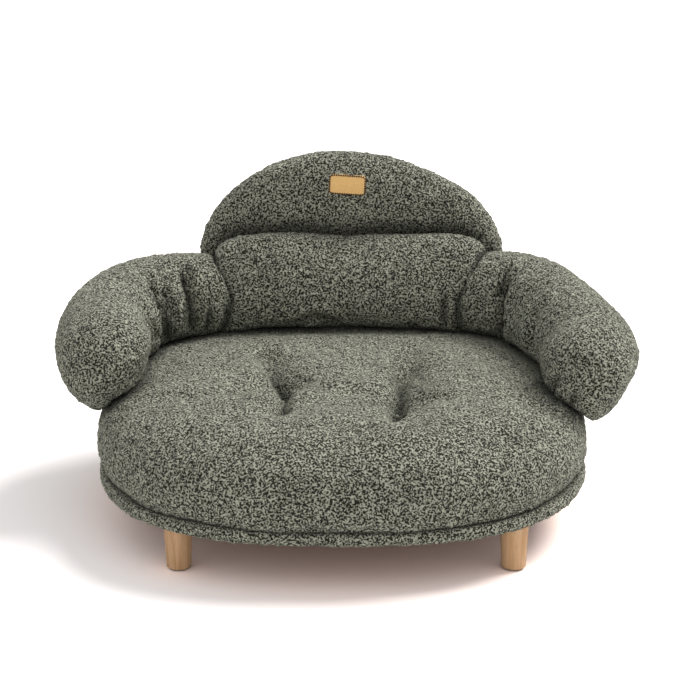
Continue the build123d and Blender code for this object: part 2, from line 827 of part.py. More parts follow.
stitch_bottom = soft_gap + label_thickness
with BuildPart() as label_stitching:
    add(back_form(stitch_bottom + stitch_depth))
    add(back_form(stitch_bottom), mode=Mode.SUBTRACT)
    with BuildSketch(label_plane):
        RectangleRounded(
            label_width - 2 * label_seam_inset, label_height - 2 * label_seam_inset, label_corner_radius
        )
        RectangleRounded(
            label_width - 2 * (label_seam_inset + stitch_width),
            label_height - 2 * (label_seam_inset + stitch_width),
            label_corner_radius - stitch_width,
            mode=Mode.SUBTRACT,
        )
    extrude(amount=back_thickness, mode=Mode.INTERSECT)
save(label_stitching.part, "label_stitching")

# Zip on the flat back of the backrest cover: tape, teeth and end stops
tape_rear_y = back_rear_y + tape_thickness
zip_left_x = back_centre_x - zip_length / 2
zip_right_x = back_centre_x + zip_length / 2
tape_length = zip_length + 4 * stop_length
with BuildPart() as zip_tape:
    with BuildSketch(Plane.XZ.offset(-back_rear_y)):
        with Locations((back_centre_x, zip_centre_z)):
            Rectangle(tape_length, tape_width)
    extrude(amount=-tape_thickness)
save(zip_tape.part, "zip_tape")

tooth_pitch = zip_length / zip_teeth_count
with BuildPart() as zip_teeth:
    with Locations((back_centre_x, tape_rear_y + tooth_thickness / 2, zip_centre_z)):
        with GridLocations(tooth_pitch, tooth_height, zip_teeth_count, 1):
            Box(tooth_length, tooth_thickness, tooth_height)
save(zip_teeth.part, "zip_teeth")

with BuildPart() as zip_stops:
    for x in (zip_left_x - stop_length, zip_right_x + stop_length):
        with Locations((x, tape_rear_y + tooth_thickness / 2, zip_centre_z)):
            Box(stop_length, tooth_thickness, tooth_height + 2 * slider_wall)
save(zip_stops.part, "zip_stops")

# Zip slider: a channel over the teeth with two ears that hold the puller's pin
slider_x = zip_right_x - slider_length / 2
slider_base_y = tape_rear_y + slider_gap
channel_top_y = tape_rear_y + tooth_thickness + slider_gap
slider_top_y = channel_top_y + slider_wall
slider_width = tooth_height + 2 * (slider_gap + slider_wall)
pin_y = slider_top_y + slider_gap + puller_eye_radius
ear_gap = puller_width + 2 * slider_gap
with BuildPart() as zip_slider:
    with BuildSketch(Plane.XZ.offset(-slider_base_y)):
        with Locations((slider_x, zip_centre_z)):
            Rectangle(slider_length, slider_width)
    extrude(amount=-(slider_top_y - slider_base_y))
    fillet(zip_slider.edges().filter_by(Axis.Y), radius=slider_wall)
    channel_depth = channel_top_y - slider_base_y
    with Locations((slider_x, (slider_base_y + channel_top_y) / 2, zip_centre_z)):
        Box(slider_length + cut_overrun, channel_depth, tooth_height + 2 * slider_gap, mode=Mode.SUBTRACT)
    for side in (-1, 1):
        ear_z = zip_centre_z + side * (ear_gap + bail_ear_thickness) / 2
        with Locations((slider_x, (slider_top_y + pin_y) / 2, ear_z)):
            Box(2 * puller_eye_radius, pin_y - slider_top_y, bail_ear_thickness)
        with BuildSketch(Plane.XY.offset(ear_z - bail_ear_thickness / 2)):
            with Locations((slider_x, pin_y)):
                Circle(puller_eye_radius)
        extrude(amount=bail_ear_thickness)
    add(bar(slider_x, pin_y, zip_centre_z - ear_gap / 2, bail_pin_radius, ear_gap))
save(zip_slider.part, "zip_slider")

# Zip puller: an eye on the slider's pin and a tab that lies flat along the zip
with BuildPart() as zip_puller:
    add(bar(slider_x, pin_y, zip_centre_z - puller_width / 2, puller_eye_radius, puller_width))
    with BuildSketch(Plane.XZ.offset(-(pin_y - puller_thickness / 2))):
        with Locations((slider_x - puller_length / 4, zip_centre_z)):
            Rectangle(puller_length / 2, puller_width)
        with Locations((slider_x - puller_length * 3 / 4, zip_centre_z)):
            RectangleRounded(puller_length / 2, puller_grip_width, puller_width / 2)
    extrude(amount=-puller_thickness)
    add(
        bar(slider_x, pin_y, zip_centre_z - puller_width, bail_pin_radius + turning_gap, 2 * puller_width),
        mode=Mode.SUBTRACT,
    )
save(zip_puller.part, "zip_puller")
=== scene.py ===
# Dog sofa bed: a round tufted seat, two bent arm bolsters, a lumbar cushion and a domed
# back, all in curly teddy fabric, on four turned wooden legs. Metres, +Z up, front at -Y.
import math

import bmesh
import bpy
import numpy as np
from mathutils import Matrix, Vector, noise
from mathutils.bvhtree import BVHTree


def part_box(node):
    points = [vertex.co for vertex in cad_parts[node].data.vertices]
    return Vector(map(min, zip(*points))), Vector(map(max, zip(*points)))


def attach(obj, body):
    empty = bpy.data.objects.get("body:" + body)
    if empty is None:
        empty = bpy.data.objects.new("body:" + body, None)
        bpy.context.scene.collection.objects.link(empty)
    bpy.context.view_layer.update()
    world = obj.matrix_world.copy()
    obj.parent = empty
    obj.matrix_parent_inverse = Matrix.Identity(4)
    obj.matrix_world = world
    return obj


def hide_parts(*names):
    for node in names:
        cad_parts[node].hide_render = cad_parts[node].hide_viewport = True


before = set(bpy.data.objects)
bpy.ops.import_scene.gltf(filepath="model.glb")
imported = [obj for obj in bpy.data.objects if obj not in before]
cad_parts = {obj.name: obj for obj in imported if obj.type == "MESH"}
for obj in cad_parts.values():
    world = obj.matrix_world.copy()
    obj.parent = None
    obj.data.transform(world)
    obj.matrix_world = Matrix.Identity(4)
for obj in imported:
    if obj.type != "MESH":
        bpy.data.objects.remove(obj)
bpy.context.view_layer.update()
scene = bpy.context.scene
print("frame loaded:", len(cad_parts), "nodes")


# Camera, at the photo's angle. The folds below are written in the photo's pixels and found
# on each cushion along the same rays.
cameraSettings = {
    "target": (0.0048, 0.057, 0.19),
    "distance": 2.73,
    "elevation": 18.0,
    "focalPixels": 2000.0,
    "photoPixels": 700.0,
    "sensor": 36.0,
}


def cameraAxes():
    tilt = math.radians(cameraSettings["elevation"])
    forward = Vector((0, math.cos(tilt), -math.sin(tilt)))
    upward = Vector((0, math.sin(tilt), math.cos(tilt)))
    return Vector(cameraSettings["target"]) - forward * cameraSettings["distance"], forward, upward


def photoRay(pixelX, pixelY):
    eye, forward, upward = cameraAxes()
    half = cameraSettings["photoPixels"] / 2
    focal = cameraSettings["focalPixels"]
    aim = forward + Vector((1, 0, 0)) * ((pixelX - half) / focal) - upward * ((pixelY - half) / focal)
    return eye, aim.normalized()


def makeCamera():
    data = bpy.data.cameras.new("photoCamera")
    data.sensor_width = cameraSettings["sensor"]
    data.lens = cameraSettings["sensor"] * cameraSettings["focalPixels"] / cameraSettings["photoPixels"]
    data.clip_end = 60
    camera = bpy.data.objects.new("photoCamera", data)
    scene.collection.objects.link(camera)
    camera.location = cameraAxes()[0]
    camera.rotation_euler = (math.radians(90 - cameraSettings["elevation"]), 0, 0)
    scene.camera = camera


makeCamera()


# Small helpers for node trees
def setInputs(node, inputs):
    for key, value in inputs.items():
        node.inputs[key].default_value = value
    return node


def addNode(tree, kind, place=(0, 0), inputs=None, **values):
    node = tree.nodes.new(kind)
    node.location = place
    for key, value in values.items():
        setattr(node, key, value)
    return setInputs(node, inputs or {})


def newMaterial(name):
    material = bpy.data.materials.new(name)
    material.use_nodes = True
    tree = material.node_tree
    return material, tree, tree.nodes["Principled BSDF"]


def newGroup(name, inputs, outputs):
    tree = bpy.data.node_groups.new(name, "ShaderNodeTree")
    for socketName, kind, default in inputs:
        socket = tree.interface.new_socket(socketName, in_out="INPUT", socket_type=kind)
        socket.default_value = default
    for socketName, kind in outputs:
        tree.interface.new_socket(socketName, in_out="OUTPUT", socket_type=kind)
    return tree, addNode(tree, "NodeGroupInput", (-1200, 0)), addNode(tree, "NodeGroupOutput", (1000, 0))


def useGroup(tree, group, place, inputs):
    node = addNode(tree, "ShaderNodeGroup", place)
    node.node_tree = group
    return setInputs(node, inputs)


def mapRange(tree, place, low, high, toLow, toHigh):
    inputs = {"From Min": low, "From Max": high, "To Min": toLow, "To Max": toHigh}
    return addNode(tree, "ShaderNodeMapRange", place, inputs, interpolation_type="SMOOTHSTEP")


def mathNode(tree, place, operation, value=None, kind="ShaderNodeMath"):
    return addNode(tree, kind, place, {} if value is None else {1: value}, operation=operation)


def vectorNode(tree, place, operation, value=None):
    return mathNode(tree, place, operation, value, "ShaderNodeVectorMath")


def noiseNode(tree, place, detail, scale=None):
    inputs = {"Detail": detail} if scale is None else {"Detail": detail, "Scale": scale}
    return addNode(tree, "ShaderNodeTexNoise", place, inputs)


def mixNode(tree, place, inputs, kind="RGBA", blend="MIX"):
    return addNode(tree, "ShaderNodeMix", place, inputs, data_type=kind, blend_type=blend)


def addBump(tree, shader, place, source, depth):
    bump = addNode(tree, "ShaderNodeBump", place, {"Distance": depth})
    tree.links.new(source, bump.inputs["Height"])
    tree.links.new(bump.outputs["Normal"], shader.inputs["Normal"])


# Curls of the teddy pile: short winding strands of one width with gaps between them, which the fabric paints
# dark as shade
curlSettings = {
    "given": {"Curls per Metre": 430.0, "Swirl": 0.004, "Fibre": 0.35},
    "swirlScale": 130.0,
    "strand": (0.34, 0.66),
    "fibreScale": 1100.0,
    "clumpScale": 24.0,
}


def makeCurlGroup():
    tree, given, result = newGroup(
        "curlPile",
        [(name, "NodeSocketFloat", value) for name, value in curlSettings["given"].items()],
        [("Height", "NodeSocketFloat"), ("Clump", "NodeSocketFloat")],
    )
    link = tree.links.new
    place = addNode(tree, "ShaderNodeTexCoord", (-1400, 300))
    swirl = noiseNode(tree, (-1200, 100), 1.0, curlSettings["swirlScale"])
    link(place.outputs["Object"], swirl.inputs["Vector"])
    centred = vectorNode(tree, (-1000, 100), "SUBTRACT", (0.5, 0.5, 0.5))
    link(swirl.outputs["Color"], centred.inputs[0])
    pulled = vectorNode(tree, (-820, 100), "SCALE")
    link(centred.outputs[0], pulled.inputs[0])
    link(given.outputs["Swirl"], pulled.inputs["Scale"])
    moved = vectorNode(tree, (-640, 200), "ADD")
    link(place.outputs["Object"], moved.inputs[0])
    link(pulled.outputs[0], moved.inputs[1])
    curls = noiseNode(tree, (-400, 300), 0.0)
    link(moved.outputs[0], curls.inputs["Vector"])
    link(given.outputs["Curls per Metre"], curls.inputs["Scale"])
    strand = mapRange(tree, (-200, 300), *curlSettings["strand"], 0.0, 1.0)
    link(curls.outputs["Fac"], strand.inputs["Value"])
    fibres = noiseNode(tree, (-400, 0), 1.0, curlSettings["fibreScale"])
    link(moved.outputs[0], fibres.inputs["Vector"])
    fibreOff = mathNode(tree, (-200, 0), "SUBTRACT", 0.5)
    link(fibres.outputs["Fac"], fibreOff.inputs[0])
    height = mathNode(tree, (0, 100), "MULTIPLY_ADD")
    link(fibreOff.outputs[0], height.inputs[0])
    link(given.outputs["Fibre"], height.inputs[1])
    link(strand.outputs["Result"], height.inputs[2])
    clumps = noiseNode(tree, (0, -260), 3.0, curlSettings["clumpScale"])
    link(place.outputs["Object"], clumps.inputs["Vector"])
    link(height.outputs[0], result.inputs["Height"])
    link(clumps.outputs["Fac"], result.inputs["Clump"])
    return tree


curlGroup = makeCurlGroup()

teddySettings = {
    "curlColour": (0.47, 0.48, 0.385, 1),
    # painted shade in the gaps between the curls
    "paintedGapShade": (0.014, 0.015, 0.009, 1),
    # colour of the painted shade in folds and where cushions meet
    "paintedShadeColour": (0.09, 0.09, 0.075, 1),
    "edgeOnHeight": 0.68,
    "edgeOnShare": 0.75,
    "edgeOnRange": (0.5, 1.05),
    "clumpChange": (0.94, 1.06),
    "bumpDepth": 0.0022,
    "surface": {
        "Roughness": 0.95,
        "Specular IOR Level": 0.12,
        "Sheen Weight": 0.25,
        "Sheen Roughness": 0.5,
        "Sheen Tint": (0.8, 0.82, 0.74, 1),
    },
}


# Painted shade: seen straight on, the gaps between the curls are painted dark as shade. Seen edge on, the
# curls hide them, and the painted gap shade gives way to the curls' colour.
def makeTeddy():
    material, tree, shader = newMaterial("teddyFabric")
    link = tree.links.new
    pile = useGroup(tree, curlGroup, (-1100, 0), curlSettings["given"])
    facing = addNode(tree, "ShaderNodeLayerWeight", (-1100, -260), {"Blend": 0.5})
    edgeOn = mapRange(
        tree, (-900, -260), *teddySettings["edgeOnRange"], 0.0, teddySettings["edgeOnShare"]
    )
    link(facing.outputs["Facing"], edgeOn.inputs["Value"])
    # edge on, the painted gap shade fades towards the curls' colour
    seenHeight = mixNode(tree, (-700, 0), {"B": teddySettings["edgeOnHeight"]}, "FLOAT")
    link(pile.outputs["Height"], seenHeight.inputs["A"])
    link(edgeOn.outputs["Result"], seenHeight.inputs["Factor"])
    colours = {"A": teddySettings["paintedGapShade"], "B": teddySettings["curlColour"]}
    shade = mixNode(tree, (-500, 260), colours)
    link(seenHeight.outputs["Result"], shade.inputs["Factor"])
    clump = mapRange(tree, (-500, 0), 0.3, 0.7, *teddySettings["clumpChange"])
    link(pile.outputs["Clump"], clump.inputs["Value"])
    tone = addNode(tree, "ShaderNodeHueSaturation", (-300, 260))
    link(shade.outputs["Result"], tone.inputs["Color"])
    link(clump.outputs["Result"], tone.inputs["Value"])
    # Painted shade in folds and where cushions meet, read from a point attribute, darkens the fabric's colour
    folds = addNode(tree, "ShaderNodeAttribute", (-500, 480), attribute_name="paintedShade")
    deep = mixNode(tree, (-120, 300), {"B": teddySettings["paintedShadeColour"]}, blend="MULTIPLY")
    link(folds.outputs["Fac"], deep.inputs["Factor"])
    link(tone.outputs["Color"], deep.inputs["A"])
    link(deep.outputs["Result"], shader.inputs["Base Color"])
    addBump(tree, shader, (-300, -200), pile.outputs["Height"], teddySettings["bumpDepth"])
    setInputs(shader, teddySettings["surface"])
    return material


teddyFabric = makeTeddy()


# Finishes of the CAD nodes, one for each slot of the record
woodSettings = {
    "poreScale": 1400.0,
    "pores": (0.56, 0.72),
    "bands": (0.32, 0.7),
    "poreTint": (0.72, 0.62, 0.5, 1),
    "poreShare": 0.45,
    "bumpDepth": 0.0002,
    "gloss": 0.35,
}


def makeGrainGroup():
    tree, given, result = newGroup(
        "woodGrain",
        [("Rings per Metre", "NodeSocketFloat", 140.0), ("Stretch", "NodeSocketVector", (1.0, 1.0, 0.06))],
        [("Grain", "NodeSocketFloat"), ("Pores", "NodeSocketFloat")],
    )
    link = tree.links.new
    place = addNode(tree, "ShaderNodeTexCoord", (-1200, 300))
    drawn = vectorNode(tree, (-1000, 200), "MULTIPLY")
    link(place.outputs["Object"], drawn.inputs[0])
    link(given.outputs["Stretch"], drawn.inputs[1])
    grain = setInputs(noiseNode(tree, (-700, 200), 4.0), {"Distortion": 0.8})
    link(drawn.outputs[0], grain.inputs["Vector"])
    link(given.outputs["Rings per Metre"], grain.inputs["Scale"])
    pores = noiseNode(tree, (-700, -100), 1.0, woodSettings["poreScale"])
    link(drawn.outputs[0], pores.inputs["Vector"])
    poreMask = mapRange(tree, (-450, -100), *woodSettings["pores"], 0.0, 1.0)
    link(pores.outputs["Fac"], poreMask.inputs["Value"])
    link(grain.outputs["Fac"], result.inputs["Grain"])
    link(poreMask.outputs["Result"], result.inputs["Pores"])
    return tree


grainGroup = makeGrainGroup()


def makeWood(name, light, dark, roughness, stretch, rings=140.0):
    material, tree, shader = newMaterial(name)
    link = tree.links.new
    wood = useGroup(tree, grainGroup, (-900, 0), {"Stretch": stretch, "Rings per Metre": rings})
    band = mapRange(tree, (-700, 100), *woodSettings["bands"], 0.0, 1.0)
    link(wood.outputs["Grain"], band.inputs["Value"])
    colour = mixNode(tree, (-480, 100), {"A": light, "B": dark})
    link(band.outputs["Result"], colour.inputs["Factor"])
    poreDark = mixNode(tree, (-260, 100), {"B": woodSettings["poreTint"]}, blend="MULTIPLY")
    poreShare = mathNode(tree, (-480, -120), "MULTIPLY", woodSettings["poreShare"])
    link(wood.outputs["Pores"], poreShare.inputs[0])
    link(poreShare.outputs[0], poreDark.inputs["Factor"])
    link(colour.outputs["Result"], poreDark.inputs["A"])
    link(poreDark.outputs["Result"], shader.inputs["Base Color"])
    addBump(tree, shader, (-260, -200), wood.outputs["Grain"], woodSettings["bumpDepth"])
    setInputs(shader, {"Roughness": roughness, "Specular IOR Level": woodSettings["gloss"]})
    return material


def makePlain(name, colour, change, scale, roughness, metallic=0.0, depth=0.0001, stretch=(1, 1, 1)):
    material, tree, shader = newMaterial(name)
    link = tree.links.new
    place = addNode(tree, "ShaderNodeTexCoord", (-1100, 0))
    drawn = vectorNode(tree, (-900, 0), "MULTIPLY", stretch)
    link(place.outputs["Object"], drawn.inputs[0])
    grain = noiseNode(tree, (-700, 0), 3.0, scale)
    link(drawn.outputs[0], grain.inputs["Vector"])
    spread = mapRange(tree, (-520, 0), 0.3, 0.7, 0.0, 1.0)
    link(grain.outputs["Fac"], spread.inputs["Value"])
    tone = mixNode(tree, (-320, 0), {
        "A": (*[c * (1 - change) for c in colour], 1),
        "B": (*[min(1, c * (1 + change)) for c in colour], 1),
    })
    link(spread.outputs["Result"], tone.inputs["Factor"])
    link(tone.outputs["Result"], shader.inputs["Base Color"])
    addBump(tree, shader, (-320, -220), grain.outputs["Fac"], depth)
    setInputs(shader, {"Roughness": roughness, "Metallic": metallic})
    return material


# Wood: light and dark colour, roughness, stretch of the grain, rings per metre. The others:
# colour, change of tone, grains per metre, roughness, metallic, depth of the bump, stretch.
finishes = {
    "leg_wood": makeWood("legWood", (0.78, 0.5, 0.29, 1), (0.62, 0.35, 0.17, 1), 0.45, (1, 1, 0.05)),
    "plywood": makeWood("plywood", (0.62, 0.46, 0.3, 1), (0.45, 0.3, 0.17, 1), 0.7, (0.06, 1, 1), 90.0),
    "teddy_fabric": teddyFabric,
    "dust_cloth": makePlain("dustCloth", (0.022, 0.022, 0.024), 0.3, 900.0, 0.9, 0.0, 0.0004),
    "staple_steel": makePlain("stapleSteel", (0.62, 0.62, 0.6), 0.1, 300.0, 0.35, 1.0),
    "zinc_steel": makePlain("zincSteel", (0.6, 0.6, 0.57), 0.12, 160.0, 0.38, 1.0),
    "fibre_fill": makePlain("fibreFill", (0.8, 0.8, 0.78), 0.06, 300.0, 0.95, 0.0, 0.001),
    "foam": makePlain("foam", (0.78, 0.7, 0.45), 0.08, 900.0, 0.9, 0.0, 0.0006),
    "thread": makePlain("thread", (0.2, 0.21, 0.165), 0.2, 1500.0, 0.85, 0.0, 0.0003, (1, 1, 0.3)),
    "label_leather": makePlain("labelLeather", (0.95, 0.59, 0.22), 0.05, 420.0, 0.55, 0.0, 0.0003),
    "label_thread": makePlain("labelThread", (0.07, 0.03, 0.01), 0.25, 1800.0, 0.8, 0.0, 0.0002),
    "zip_cloth": makePlain("zipCloth", (0.09, 0.095, 0.075), 0.2, 1300.0, 0.9, 0.0, 0.0003, (1, 0.4, 0.4)),
    "zip_plastic": makePlain("zipPlastic", (0.1, 0.105, 0.085), 0.08, 500.0, 0.4),
    "slider_metal": makePlain("sliderMetal", (0.5, 0.5, 0.48), 0.1, 260.0, 0.32, 1.0),
    "pad_felt": makePlain("padFelt", (0.3, 0.24, 0.18), 0.2, 1100.0, 0.95, 0.0, 0.0004),
}
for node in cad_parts.values():
    for place in node.material_slots:
        place.material = finishes[place.material.name.split(".")[0]]
print("finishes made:", len(finishes))


# Mesh helpers
def linkMesh(name, mesh):
    piece = bpy.data.objects.new(name, mesh)
    scene.collection.objects.link(piece)
    return piece


def meshPiece(name, points, faces, material):
    mesh = bpy.data.meshes.new(name)
    mesh.from_pydata(points, [], faces)
    mesh.update()
    mesh.materials.append(material)
    return linkMesh(name, mesh)


def applyModifiers(piece):
    graph = bpy.context.evaluated_depsgraph_get()
    made = bpy.data.meshes.new_from_object(piece.evaluated_get(graph))
    piece.modifiers.clear()
    piece.data = made
    return piece


def readRows(items, key, width, kind=float):
    values = np.empty(len(items) * width, dtype=kind)
    items.foreach_get(key, values)
    return values.reshape(-1, width)


def readPoints(mesh):
    return readRows(mesh.vertices, "co", 3)


def writePoints(mesh, points):
    mesh.vertices.foreach_set("co", points.ravel())
    mesh.update()


def readNormals(mesh):
    return readRows(mesh.vertex_normals, "vector", 3)


def readEdges(mesh):
    return readRows(mesh.edges, "vertices", 2, np.int32)


def relaxed(points, edges, times, weight=0.5):
    count = len(points)
    near = np.bincount(edges.ravel(), minlength=count)[:, None].clip(1)
    for _ in range(times):
        total = np.empty_like(points)
        for axis in range(3):
            total[:, axis] = np.bincount(edges[:, 0], points[edges[:, 1], axis], count)
            total[:, axis] += np.bincount(edges[:, 1], points[edges[:, 0], axis], count)
        points = points + weight * (total / near - points)
    return points


def softenNear(points, edges, spots, radius, times):
    soft = relaxed(points, edges, times)
    reach = np.min([np.linalg.norm(points[:, :2] - np.array(spot), axis=1) for spot in spots], axis=0)
    share = 1 - smoothStep(reach, radius * 0.5, radius)
    return points + (soft - points) * share[:, None]


def smoothStep(value, low, high):
    share = np.clip((value - low) / (high - low), 0, 1)
    return share * share * (3 - 2 * share)


# The outside surface of a CAD cover. Thread holes are closed, and the wall inside is dropped:
# an island of its own, or, where a zip opening joins it to the outside, the faces that look
# at the cover's own cloth.
skinSettings = {"weld": 0.00002, "holeRadius": 0.0016, "lookFrom": 0.0003}


def inHole(face, hole):
    return all(math.dist(v.co[:2], hole) < skinSettings["holeRadius"] for v in face.verts)


def outsideOf(nodeName, holes, opened):
    form = bmesh.new()
    form.from_mesh(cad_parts[nodeName].data)
    bmesh.ops.remove_doubles(form, verts=form.verts, dist=skinSettings["weld"])
    walls = [face for face in form.faces if any(inHole(face, hole) for hole in holes)]
    if opened:
        tree = BVHTree.FromBMesh(form)
        lookFrom = skinSettings["lookFrom"]
        walls = [
            face for face in form.faces
            if tree.ray_cast(face.calc_center_median() + face.normal * lookFrom, face.normal)[0] is not None
        ]
    if walls:
        bmesh.ops.delete(form, geom=walls, context="FACES")
        closeHoles(form)
    islands = islandsOf(form)
    largest = max(islands, key=areaOf)
    inner = [face for island in islands if island is not largest for face in island]
    bmesh.ops.delete(form, geom=inner, context="FACES")
    mesh = bpy.data.meshes.new(nodeName + "Skin")
    form.to_mesh(mesh)
    form.free()
    return mesh


def closeHoles(form):
    rims = [edge for edge in form.edges if edge.is_boundary]
    bmesh.ops.triangle_fill(form, edges=rims, use_beauty=True)


def islandsOf(form):
    unseen = set(form.faces)
    islands = []
    while unseen:
        island = {unseen.pop()}
        front = list(island)
        while front:
            for edge in front.pop().edges:
                for face in edge.link_faces:
                    if face in unseen:
                        unseen.discard(face)
                        island.add(face)
                        front.append(face)
        islands.append(island)
    return islands


def areaOf(island):
    return sum(face.calc_area() for face in island)


def treeOf(piece):
    mesh = piece.data
    return BVHTree.FromPolygons([v.co for v in mesh.vertices], [p.vertices[:] for p in mesh.polygons])


def reachTo(points, trees, limit):
    reach = np.full(len(points), limit)
    for tree in trees:
        for index, point in enumerate(points):
            found = tree.find_nearest(point, reach[index])
            if found[3] is not None:
                reach[index] = found[3]
    return reach


# Padding: cloth under pressure, held where the cushion touches what lies against it
clothSettings = {
    "quality": 5,
    "mass": 0.3,
    "tension_stiffness": 12,
    "compression_stiffness": 12,
    "shear_stiffness": 5,
    "bending_stiffness": 0.5,
    "use_pressure": True,
    "uniform_pressure_force": 4,
}
heldSteps = 10


def swell(piece, held, settings):
    start = readPoints(piece.data)
    group = piece.vertex_groups.new(name="held")
    steps = np.round(held * heldSteps).astype(int)
    for step in range(1, heldSteps + 1):
        group.add(np.nonzero(steps == step)[0].tolist(), step / heldSteps, "REPLACE")
    cloth = piece.modifiers.new("padding", "CLOTH")
    for key, value in clothSettings.items():
        setattr(cloth.settings, key, value)
    cloth.settings.vertex_group_mass = group.name
    cloth.settings.effector_weights.gravity = 0
    cloth.point_cache.frame_start = 1
    cloth.point_cache.frame_end = settings["frames"]
    for step in range(1, settings["frames"] + 1):
        scene.frame_set(step)
    graph = bpy.context.evaluated_depsgraph_get()
    swollen = readPoints(piece.evaluated_get(graph).data)
    piece.modifiers.clear()
    piece.vertex_groups.clear()
    scene.frame_set(1)
    travel = swollen - start
    length = np.linalg.norm(travel, axis=1, keepdims=True)
    allowed = settings["cap"] * (1 - held[:, None])
    return start + travel * np.minimum(1, allowed / np.maximum(length, 1e-9))


# Folds: each is a line in the photo's pixels, laid on the cushion and pressed in. Where one
# form hides a stretch of it, the line bridges the gap. What lies across a fold is given in
# shares of its width.
foldSettings = {
    "pixelStep": 1.5,
    "bridgeStep": 0.004,
    "reach": 4,
    "lipAt": 1.9,
    "lipWidth": 0.8,
    "shadeWidth": 0.7,
}


# shade: how strong the painted shade along the fold is
def crease(line, width, depth, lip=0.25, tapers=(0.3, 0.2), shade=0.0):
    return {"line": line, "width": width, "depth": depth, "lip": lip, "tapers": tapers, "shade": shade}


def foldPoints(tree, pixels):
    points = []
    for (startX, startY), (endX, endY) in zip(pixels, pixels[1:]):
        steps = max(2, round(math.dist((startX, startY), (endX, endY)) / foldSettings["pixelStep"]))
        for step in range(steps):
            share = step / steps
            eye, aim = photoRay(startX + (endX - startX) * share, startY + (endY - startY) * share)
            found = tree.ray_cast(eye, aim)[0]
            if found is None:
                continue
            if points:
                last = Vector(points[-1])
                gaps = math.ceil((found - last).length / foldSettings["bridgeStep"])
                points += [last.lerp(found, gap / gaps)[:] for gap in range(1, gaps)]
            points.append(found[:])
    return np.array(points)


def pressFolds(piece, folds):
    mesh = piece.data
    points = readPoints(mesh)
    normals = readNormals(mesh)
    tree = treeOf(piece)
    push = np.zeros(len(points))
    shade = np.zeros(len(points))
    for fold in folds:
        line = foldPoints(tree, fold["line"])
        if len(line) < 2:
            print("a fold misses", piece.name, fold["line"][0])
            continue
        reach = foldSettings["reach"] * fold["width"]
        close = (points > line.min(0) - reach) & (points < line.max(0) + reach)
        inside = np.nonzero(np.all(close, axis=1))[0]
        away = np.linalg.norm(points[inside, None, :] - line[None, :, :], axis=2)
        nearest = away.argmin(axis=1)
        distance = away.min(axis=1) / fold["width"]
        along = nearest / (len(line) - 1)
        first, last = fold["tapers"]
        strength = smoothStep(along, -0.02, first) * smoothStep(1 - along, -0.02, last)
        valley = np.exp(-distance ** 2)
        lip = np.exp(-((distance - foldSettings["lipAt"]) / foldSettings["lipWidth"]) ** 2)
        push[inside] += strength * (fold["lip"] * lip - valley) * fold["depth"]
        # painted shade along the fold's valley
        dark = fold["shade"] * strength * np.exp(-(distance / foldSettings["shadeWidth"]) ** 2)
        shade[inside] = np.maximum(shade[inside], dark)
    writePoints(mesh, points + normals * push[:, None])
    writeShade(mesh, shade)


# Painted shade: how far each point lies in a fold or against another cushion, for the fabric's colour to be
# darkened by as painted shade
def writeShade(mesh, shade):
    layer = mesh.attributes.get("paintedShade") or mesh.attributes.new("paintedShade", "FLOAT", "POINT")
    layer.data.foreach_set("value", shade)


def readShade(mesh):
    shade = np.zeros(len(mesh.vertices))
    if "paintedShade" in mesh.attributes:
        mesh.attributes["paintedShade"].data.foreach_get("value", shade)
    return shade


contactSettings = {"strength": 0.85, "fullWithin": 0.15}


def shadeContacts(depths):
    trees = {piece: treeOf(piece) for piece in depths}
    for piece, depth in depths.items():
        points = readPoints(piece.data)
        others = [trees[other] for other in depths if other is not piece]
        reach = reachTo(points, others, depth)
        # painted shade near where this piece touches another
        near = 1 - smoothStep(reach, depth * contactSettings["fullWithin"], depth)
        touch = contactSettings["strength"] * near
        writeShade(piece.data, np.maximum(readShade(piece.data), touch))
    print("contacts shaded:", len(depths), "pieces")


# Pile: the curls stand up in small heaps all over the cloth, on larger lumps of the fill
pileSettings = {
    "coarse": (95.0, 0.0013),
    "fine": (190.0, 0.0017),
    "lumps": 14.0,
    "pressedDepth": 0.0012,
}


def raisePile(piece, lumpHeight, share, sunk=0.0):
    mesh = piece.data
    points = readPoints(mesh)
    normals = readNormals(mesh)
    rise = np.zeros(len(points))
    for scale, height in (pileSettings["coarse"], pileSettings["fine"], (pileSettings["lumps"], lumpHeight)):
        rise += [noise.noise(Vector(point) * scale) * height for point in points]
    rise = rise * share - sunk
    writePoints(mesh, points + normals * rise[:, None])


def subdivided(piece):
    rounds = piece.modifiers.new("rounds", "SUBSURF")
    rounds.levels = 1
    rounds.render_levels = 1
    return applyModifiers(piece)


def changeForm(piece, change):
    form = bmesh.new()
    form.from_mesh(piece.data)
    change(form)
    form.to_mesh(piece.data)
    form.free()


# A finished piece: smooth, its normals outward, riding on the base in place of its CAD nodes
def settle(piece, nodes, fill=None):
    changeForm(piece, lambda form: bmesh.ops.recalc_face_normals(form, faces=form.faces))
    piece.data.polygons.foreach_set("use_smooth", [True] * len(piece.data.polygons))
    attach(piece, "base")
    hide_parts(*nodes)


# What a cushion has unless its own settings say otherwise. It is held fast nearer than the
# first distance to what lies against it, and free beyond the second.
cushionSettings = {
    "holes": (),
    "opened": False,
    "voxel": 0.0045,
    "relax": 8,
    "shrink": 0.002,
    "softRadius": 0.055,
    "softRounds": 80,
    "held": (0.005, 0.016),
    "felt": 0.02,
    "frames": 14,
    "cap": 0.006,
    "lumps": 0.0012,
    "folds": [],
}


